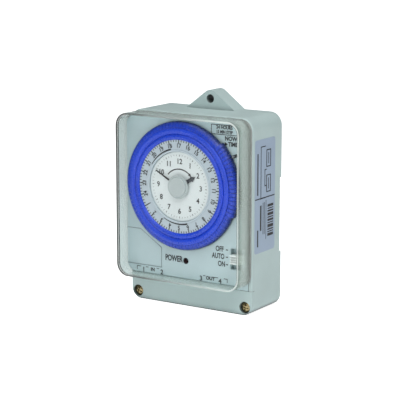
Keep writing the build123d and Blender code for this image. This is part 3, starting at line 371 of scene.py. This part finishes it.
greyHandLook = {"colour": (0.075, 0.085, 0.095), "shade": 0.7, "roughness": (0.35, 0.5), "grain": 3500}
blackHandLook = {"colour": (0.012, 0.012, 0.013), "shade": 0.7, "roughness": (0.3, 0.42), "grain": 3500}
redLook = {"colour": (0.012, 0.002, 0.003), "shade": 0.6, "roughness": (0.4, 0.5), "depth": 0.000004, "bend": 1.25}
greenLook = {"colour": (0.02, 0.11, 0.045), "roughness": (0.3, 0.45), "cloud": 260}
sleeveLook = {"colour": (0.03, 0.16, 0.06), "roughness": (0.2, 0.32)}
yellowLook = {"colour": (0.52, 0.36, 0.04), "roughness": (0.35, 0.5)}
brassLook = {
    "colour": (0.46, 0.37, 0.20), "roughness": (0.14, 0.26), "lines": 900, "stretch": (1, 6, 1),
    "crevice": (0.002, 0.05),
}
steelLook = {"colour": (0.55, 0.56, 0.56), "roughness": (0.22, 0.4), "lines": 1400, "stretch": (1, 8, 1)}

finishes = {
    "case_grey": mouldedFinish("caseGrey", greyLook),
    "panel_grey": mouldedFinish("panelGrey", panelLook),
    "clip_grey": mouldedFinish("clipGrey", clipLook),
    "clear_plastic": clearFinish("clearPlastic", clearLook),
    "brass": metalFinish("turnedBrass", brassLook),
    "black_plastic": mouldedFinish("blackPlastic", blackLook),
    "steel": metalFinish("drawnSteel", steelLook),
    "plate_steel": metalFinish("plateSteel", steelLook),
    "dial_white": mouldedFinish("dialWhite", dialLook),
    "tab_blue": mouldedFinish("tabBlue", blueLook),
    "gear_white": mouldedFinish("gearWhite", gearLook),
    "hand_grey": mouldedFinish("handGrey", greyHandLook),
    "hand_black": mouldedFinish("handBlack", blackHandLook),
    "knob_grey": mouldedFinish("knobGrey", knobLook),
    "slider_white": mouldedFinish("sliderWhite", whiteLook),
    "lamp_red": mouldedFinish("lampRed", redLook),
    "board_green": mouldedFinish("boardGreen", greenLook),
    "cell_sleeve": mouldedFinish("cellSleeve", sleeveLook),
    "capacitor_yellow": mouldedFinish("capacitorYellow", yellowLook),
}
for part in frame["record"]["subparts"]:
    for slot in nodes[part["node"]].material_slots:
        slot.material = finishes[part["material_slot"]]
# the face is brighter than the dial, and the switch's body shows beside its lever
nodes["clock_face"].material_slots[0].material = mouldedFinish("faceWhite", faceLook)
nodes["mode_switch_body"].material_slots[0].material = mouldedFinish("wellGrey", wellLook)
nodes["trip_lever"].material_slots[0].material = finishes["clip_grey"]


# printing: thin ink on the dials, the panel and the label

inkLook = {
    "colour": (0.018, 0.019, 0.021), "shade": 0.6, "roughness": (0.45, 0.6), "grain": 4000, "depth": 0.000004,
}
ink = mouldedFinish("printInk", inkLook)
inkSize = {
    "lift": 0.012 * mm, "thickness": 0.02 * mm,
    "letterSteps": 4, "arcStep": 2, "fewestArcSteps": 8,   # arcStep is in degrees
}

faceLow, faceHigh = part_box("clock_face")
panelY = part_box("front_frame")[0].y
faceY = faceLow.y
faceBead = 0.5 * mm   # the bead round the clock face stands this far above the dial
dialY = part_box("program_dial")[0].y + faceBead
axisZ = (faceLow.z + faceHigh.z) / 2


# a place on the dials, with the angle clockwise from the top
def clockPlace(radius, angle, y):
    return radius * sin(radians(angle)), y, axisZ + radius * cos(radians(angle))


def selectOnly(piece):
    bpy.ops.object.select_all(action="DESELECT")
    piece.select_set(True)
    bpy.context.view_layer.objects.active = piece


def applyPlace(piece):
    selectOnly(piece)
    bpy.ops.object.transform_apply(location=True, rotation=True, scale=True)


def frontWord(text, place, size, turn, squeeze, weight):
    bpy.ops.object.select_all(action="DESELECT")
    x, y, z = place
    inkY = y - inkSize["lift"] - inkSize["thickness"]
    bpy.ops.object.text_add(location=(x, inkY, z), rotation=(pi / 2, radians(turn), 0))
    word = bpy.context.object
    word.data.body = text
    word.data.size = size
    word.data.align_x = "CENTER"
    word.data.align_y = "CENTER"
    word.data.resolution_u = inkSize["letterSteps"]
    word.data.extrude = inkSize["thickness"]
    word.data.offset = size * weight
    word.scale.x = squeeze
    bpy.ops.object.convert(target="MESH")
    word = bpy.context.object
    applyPlace(word)
    return word


def frontBar(place, width, height, turn=0):
    bpy.ops.object.select_all(action="DESELECT")
    x, y, z = place
    inkY = y - inkSize["lift"] - inkSize["thickness"] / 2
    bpy.ops.mesh.primitive_cube_add(size=1, location=(x, inkY, z), rotation=(0, radians(turn), 0))
    bar = bpy.context.object
    bar.scale = (width, inkSize["thickness"], height)
    applyPlace(bar)
    return bar


def arcStrip(radius, startAngle, endAngle, startWidth, endWidth, y):
    bpy.ops.object.select_all(action="DESELECT")
    sweep = endAngle - startAngle
    steps = max(inkSize["fewestArcSteps"], int(abs(sweep) / inkSize["arcStep"]))
    bpy.ops.mesh.primitive_grid_add(x_subdivisions=steps, y_subdivisions=1, size=1)
    strip = bpy.context.object
    for corner in strip.data.vertices:
        along = corner.co.x + 0.5   # the grid runs from -0.5 to 0.5
        width = startWidth + (endWidth - startWidth) * along
        cornerRadius = radius + corner.co.y * width
        corner.co = clockPlace(cornerRadius, startAngle + sweep * along, y - inkSize["lift"])
    thicken = strip.modifiers.new("thicken", "SOLIDIFY")
    thicken.thickness = inkSize["thickness"]
    thicken.offset = 0
    bpy.ops.object.modifier_apply(modifier="thicken")
    bpy.ops.object.mode_set(mode="EDIT")
    bpy.ops.mesh.select_all(action="SELECT")
    bpy.ops.mesh.normals_make_consistent(inside=False)
    bpy.ops.object.mode_set(mode="OBJECT")
    return strip


def ringOfBars(tick, count, y, skipEvery=0):
    radius, length, width = tick
    bars = []
    for number in range(count):
        if skipEvery and number % skipEvery == 0:
            continue
        angle = 360 * number / count
        bars.append(frontBar(clockPlace(radius, angle, y), width, length, angle))
    return bars


def joinPieces(pieces, name, body, finish):
    bpy.ops.object.select_all(action="DESELECT")
    for piece in pieces:
        piece.select_set(True)
    bpy.context.view_layer.objects.active = pieces[0]
    bpy.ops.object.join()
    whole = bpy.context.object
    whole.name = name
    whole.data.name = name
    whole.data.materials.clear()
    whole.data.materials.append(finish)
    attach(whole, body)
    return whole


# day dial: hours run against the clock from the top, a tick for each quarter hour

dayDial = {
    "hours": 24, "quarters": 4, "topHour": 17,
    "numberRadius": 21.75 * mm, "numberSize": 3.1 * mm, "squeeze": 0.95, "weight": 0.028,
    "hourTick": (23.85 * mm, 2.0 * mm, 0.58 * mm), "quarterTick": (24.3 * mm, 1.1 * mm, 0.42 * mm),
    "arcRadius": 19.98 * mm, "arcWide": 1.05 * mm, "arcThin": 0.35 * mm,
    "arcs": ((-58.4, -13.8), (-151.3, -195.4)),
}


def printDayDial(look):
    pieces = []
    hours, quarters = look["hours"], look["quarters"]
    for hour in range(1, hours + 1):
        angle = -360 / hours * (hour - look["topHour"])
        place = clockPlace(look["numberRadius"], angle, dialY)
        pieces.append(frontWord(str(hour), place, look["numberSize"], angle, look["squeeze"], look["weight"]))
    pieces += ringOfBars(look["hourTick"], hours, dialY)
    pieces += ringOfBars(look["quarterTick"], hours * quarters, dialY, quarters)
    for start, end in look["arcs"]:
        pieces.append(arcStrip(look["arcRadius"], start, end, look["arcThin"], look["arcWide"], dialY))
    joinPieces(pieces, "day_dial_print", "dial", ink)


# clock face: upright hours, minute ticks and the arrow that shows which way to turn the knob

clockFace = {
    "hours": 12, "minutes": 5,   # minutes between two hours
    "numberRadius": 13.3 * mm, "numberSize": 3.9 * mm, "squeeze": 0.92, "weight": 0.022,
    "hourTick": (16.5 * mm, 1.0 * mm, 0.32 * mm), "minuteTick": (16.6 * mm, 0.8 * mm, 0.17 * mm),
    "arrowRadius": 9.3 * mm, "arrowFrom": -51, "arrowTo": 40, "arrowWidth": 0.62 * mm,
    "headLength": 2.1 * mm, "headWidth": 1.7 * mm, "tipWidth": 0.02 * mm,
}


def printClockFace(look):
    pieces = []
    hours, minutes = look["hours"], look["minutes"]
    for hour in range(1, hours + 1):
        place = clockPlace(look["numberRadius"], 360 / hours * hour, faceY)
        pieces.append(frontWord(str(hour), place, look["numberSize"], 0, look["squeeze"], look["weight"]))
    pieces += ringOfBars(look["hourTick"], hours, faceY)
    pieces += ringOfBars(look["minuteTick"], hours * minutes, faceY, minutes)
    radius, width, headStart = look["arrowRadius"], look["arrowWidth"], look["arrowTo"]
    headEnd = headStart + degrees(look["headLength"] / radius)
    pieces.append(arcStrip(radius, look["arrowFrom"], headStart, width, width, faceY))
    pieces.append(arcStrip(radius, headStart, headEnd, look["headWidth"], look["tipWidth"], faceY))
    joinPieces(pieces, "clock_face_print", "case", ink)


printDayDial(dayDial)
printClockFace(clockFace)
print("dials printed")


# panel, in mm: lamp and switch words, present-time marker, box with the dial's span, plain terminal numbers

panelPrint = {
    "words": (
        # text, x, z, size, squeeze
        ("POWER", -5.9, 27.3, 4.5, 0.70),
        ("OFF", 22.9, 36.1, 3.9, 0.72), ("AUTO", 22.0, 32.2, 3.9, 0.70), ("ON", 24.1, 28.2, 3.9, 0.72),
        ("24 HOURS", 25.6, 100.3, 2.5, 0.85), ("15 MIN STEP", 25.6, 97.9, 2.3, 0.8),
        ("TIME", 30.8, 91.8, 3.1, 0.85), ("NOW", 29.6, 94.7, 3.1, 0.9),
        ("1", -25.5, 18.7, 3.6, 1.0), ("IN", -19.6, 19.4, 2.6, 1.0), ("2", -13.7, 18.7, 3.6, 1.0),
        ("3", 11.3, 18.7, 3.6, 1.0), ("OUT", 17.2, 19.4, 2.6, 1.0), ("4", 23.2, 18.7, 3.6, 1.0),
    ),
    "weight": 0.03, "smallSize": 3.3, "smallWeight": 0.045,   # small words are printed bolder
    "bars": (
        # x, z, width, height: dashes of the switch, box, brackets over the terminal numbers
        (27.4, 36.1, 1.3, 0.6), (27.4, 32.2, 1.3, 0.6), (27.4, 28.2, 1.3, 0.6),
        (17.7, 99.1, 0.4, 5.0), (26.0, 96.6, 16.9, 0.4), (26.0, 101.6, 16.9, 0.4), (34.4, 99.1, 0.4, 5.0),
        (-29.8, 19.4, 0.38, 2.0), (-28.6, 20.4, 2.6, 0.38), (-23.2, 20.4, 1.6, 0.38), (-16.2, 20.4, 1.6, 0.38),
        (13.4, 20.4, 1.6, 0.38), (21.0, 20.4, 1.6, 0.38), (26.6, 20.4, 2.2, 0.38), (27.6, 19.4, 0.38, 2.0),
    ),
    "marker": (26.5, 91.8, 1.302),   # x, z, radius
}


def printPanel(look):
    pieces = []
    for text, x, z, size, squeeze in look["words"]:
        weight = look["smallWeight"] if size < look["smallSize"] else look["weight"]
        pieces.append(frontWord(text, (x * mm, panelY, z * mm), size * mm, 0, squeeze, weight))
    for x, z, width, height in look["bars"]:
        pieces.append(frontBar((x * mm, panelY, z * mm), width * mm, height * mm))
    x, z, radius = (value * mm for value in look["marker"])
    bpy.ops.object.select_all(action="DESELECT")
    bpy.ops.mesh.primitive_cylinder_add(vertices=3, radius=radius, depth=inkSize["thickness"],
                                        location=(x, panelY - inkSize["lift"], z), rotation=(pi / 2, pi / 2, 0))
    marker = bpy.context.object
    applyPlace(marker)
    joinPieces(pieces + [marker], "panel_print", "case", ink)


# seam of the reserve cell's door: a thin dark strip laid on the panel over it, painted shade standing in for the
# shade in its gap

doorSeamShade = {"width": 0.3 * mm, "slopeInset": 8.7 * mm, "slopeDrop": 8.9 * mm}
seamShadeLook = {"colour": (0.17, 0.23, 0.25), "shade": 0.8, "roughness": (0.5, 0.6), "depth": 0.000004}


def addDoorSeam(look):
    low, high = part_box("cell_door")
    slopeTop = (low.x + look["slopeInset"], high.z)
    slopeFoot = (high.x, high.z - look["slopeDrop"])
    corners = ((low.x, high.z), slopeTop, slopeFoot, (high.x, low.z), (low.x, low.z))
    pieces = []
    for (x, z), (nextX, nextZ) in zip(corners, corners[1:]):
        length = hypot(nextX - x, nextZ - z) + look["width"]
        turn = degrees(atan2(z - nextZ, nextX - x))
        pieces.append(frontBar(((x + nextX) / 2, panelY, (z + nextZ) / 2), length, look["width"], turn))
    joinPieces(pieces, "cell_door_seam_shade", "case", mouldedFinish("seamShade", seamShadeLook))


printPanel(panelPrint)
addDoorSeam(doorSeamShade)
print("panel printed")


# strip screws: low domes with a cross recess, sunk in the strip

stripScrew = {
    "headRadius": 2.85 * mm, "dome": 0.8 * mm, "rim": 0.35 * mm, "shankRadius": 1.25 * mm, "shank": 9.5 * mm,
    "crossWidth": 0.85 * mm, "crossLength": 3.7 * mm,
    "crossDepths": (1.5 * mm, 1.44 * mm),   # half of each is in the head, and the two floors don't meet
    "turns": (28, 8), "segments": 40, "rings": 72, "smoothAngle": 35,
}


def cutBar(screw, place, size, turn):
    bpy.ops.object.select_all(action="DESELECT")
    bpy.ops.mesh.primitive_cube_add(size=1, location=place, rotation=(0, radians(turn), 0), scale=size)
    bar = bpy.context.object
    applyPlace(bar)
    selectOnly(screw)
    cut = screw.modifiers.new("cross", "BOOLEAN")
    cut.operation = "DIFFERENCE"
    cut.solver = "FAST"   # the exact one divides faces in another way on each run
    cut.object = bar
    bpy.ops.object.modifier_apply(modifier="cross")
    bpy.data.objects.remove(bar, do_unlink=True)


def addStripScrew(x, frontY, z, look, turn):
    radius = (look["headRadius"] ** 2 + look["dome"] ** 2) / (2 * look["dome"])
    bpy.ops.object.select_all(action="DESELECT")
    bpy.ops.mesh.primitive_uv_sphere_add(segments=look["segments"], ring_count=look["rings"], radius=radius,
                                         location=(x, frontY + radius, z), rotation=(pi / 2, 0, 0))
    screw = bpy.context.object
    applyPlace(screw)
    bpy.ops.object.mode_set(mode="EDIT")
    bpy.ops.mesh.select_mode(type="FACE")
    bpy.ops.mesh.select_all(action="SELECT")
    bpy.ops.mesh.bisect(plane_co=(x, frontY + look["dome"], z), plane_no=(0, 1, 0), use_fill=True, clear_outer=True)
    bpy.ops.mesh.extrude_region_move(TRANSFORM_OT_translate={"value": (0, look["rim"], 0)})
    bpy.ops.mesh.inset(thickness=look["headRadius"] - look["shankRadius"])
    bpy.ops.mesh.extrude_region_move(TRANSFORM_OT_translate={"value": (0, look["shank"], 0)})
    bpy.ops.mesh.select_all(action="SELECT")
    bpy.ops.mesh.normals_make_consistent(inside=False)
    bpy.ops.object.mode_set(mode="OBJECT")
    for side, depth in zip((0, 90), look["crossDepths"]):
        cutBar(screw, (x, frontY, z), (look["crossWidth"], depth, look["crossLength"]), turn + side)
    selectOnly(screw)
    bpy.ops.object.shade_smooth_by_angle(angle=radians(look["smoothAngle"]))
    return screw


def addStripScrews(look):
    low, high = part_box("terminal_cover_screws")
    inset = (high.z - low.z) / 2
    middleZ = (low.z + high.z) / 2
    places = (low.x + inset, high.x - inset)
    screws = [addStripScrew(x, low.y, middleZ, look, turn) for x, turn in zip(places, look["turns"])]
    pair = joinPieces(screws, "strip_screws", "case", finishes["brass"])
    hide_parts("terminal_cover_screws")


addStripScrews(stripScrew)
print("strip screws on")


# label on the right side, in mm: pale blue film with a plain wiring diagram, ruled lines and a row of bars

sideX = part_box("rear_housing")[1].x
labelLook = {
    "colour": (0.32, 0.41, 0.53), "shade": 0.94, "roughness": (0.3, 0.42), "grain": 1500, "depth": 0.000006,
}
sideLabel = {
    "yFrom": -5.6, "yTo": 15.2, "zFrom": 33.0, "zTo": 93.2, "corner": 1.6, "cornerSteps": 5,
    "film": 0.06, "sink": 0.005,   # the film reaches this far into the case
    "lines": (
        # y, z, length along y, height along z
        (4.8, 62.0, 20.0, 0.6), (-2.6, 75.0, 1.1, 22.0),
        (0.6, 75.4, 0.6, 28.0), (2.8, 89.2, 4.8, 0.5), (2.8, 61.9, 4.8, 0.5),
        (4.6, 72.4, 0.6, 9.0), (5.4, 76.8, 2.0, 0.5), (5.4, 68.2, 2.0, 0.5),
        (6.4, 82.6, 0.7, 9.0), (10.4, 82.6, 0.7, 9.0), (8.4, 87.0, 4.4, 0.55), (8.4, 78.2, 4.4, 0.55),
        (6.4, 69.2, 0.7, 9.0), (10.4, 69.2, 0.7, 9.0), (8.4, 73.6, 4.4, 0.55), (8.4, 64.8, 4.4, 0.55),
        (8.4, 82.6, 0.6, 6.0), (8.4, 69.2, 0.6, 6.0),
        (0.6, 51.5, 1.5, 13.5), (3.0, 51.0, 0.5, 17.0), (4.4, 51.0, 0.5, 17.0),
        (-2.4, 41.0, 1.2, 9.0), (6.0, 50.0, 0.45, 21.0),
    ),
    "bars": {
        "y": 10.6, "length": 6.0, "from": 40.7, "to": 57.8,
        "widths": (1.5, 0.6, 0.8, 1.7, 0.6, 1.2, 0.7, 1.5, 0.9, 0.6, 1.4),
    },
}


def sideBar(y, z, length, height, lift):
    bpy.ops.object.select_all(action="DESELECT")
    inkX = sideX + lift + inkSize["thickness"] / 2
    bpy.ops.mesh.primitive_cube_add(size=1, location=(inkX, y * mm, z * mm))
    bar = bpy.context.object
    bar.scale = (inkSize["thickness"], length * mm, height * mm)
    applyPlace(bar)
    return bar


def addLabelFilm(look):
    bpy.ops.object.select_all(action="DESELECT")
    film = look["film"] * mm
    middleY = (look["yFrom"] + look["yTo"]) / 2 * mm
    middleZ = (look["zFrom"] + look["zTo"]) / 2 * mm
    bpy.ops.mesh.primitive_cube_add(size=1, location=(sideX + film / 2 - look["sink"] * mm, middleY, middleZ))
    plate = bpy.context.object
    plate.scale = (film, (look["yTo"] - look["yFrom"]) * mm, (look["zTo"] - look["zFrom"]) * mm)
    applyPlace(plate)
    bpy.ops.object.mode_set(mode="EDIT")
    bpy.ops.mesh.select_mode(type="EDGE")
    bpy.ops.mesh.select_all(action="DESELECT")
    bpy.ops.object.mode_set(mode="OBJECT")
    for edge in plate.data.edges:
        a, b = (plate.data.vertices[i].co for i in edge.vertices)
        edge.select = abs(a.x - b.x) > film / 2   # the four short corner edges
    bpy.ops.object.mode_set(mode="EDIT")
    bpy.ops.mesh.bevel(offset=look["corner"] * mm, segments=look["cornerSteps"])
    bpy.ops.object.mode_set(mode="OBJECT")
    plate.name = "side_label"
    plate.data.materials.append(mouldedFinish("labelFilm", labelLook))
    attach(plate, "case")


def printLabel(look):
    lift = (look["film"] - look["sink"]) * mm + inkSize["lift"]
    pieces = [sideBar(y, z, length, height, lift) for y, z, length, height in look["lines"]]
    bars = look["bars"]
    widths = bars["widths"]
    gap = (bars["to"] - bars["from"] - sum(widths)) / (len(widths) - 1)
    z = bars["from"]
    for width in widths:
        pieces.append(sideBar(bars["y"], z + width / 2, bars["length"], width, lift))
        z += width + gap
    joinPieces(pieces, "side_label_print", "case", ink)


addLabelFilm(sideLabel)
printLabel(sideLabel)
print("side label on")
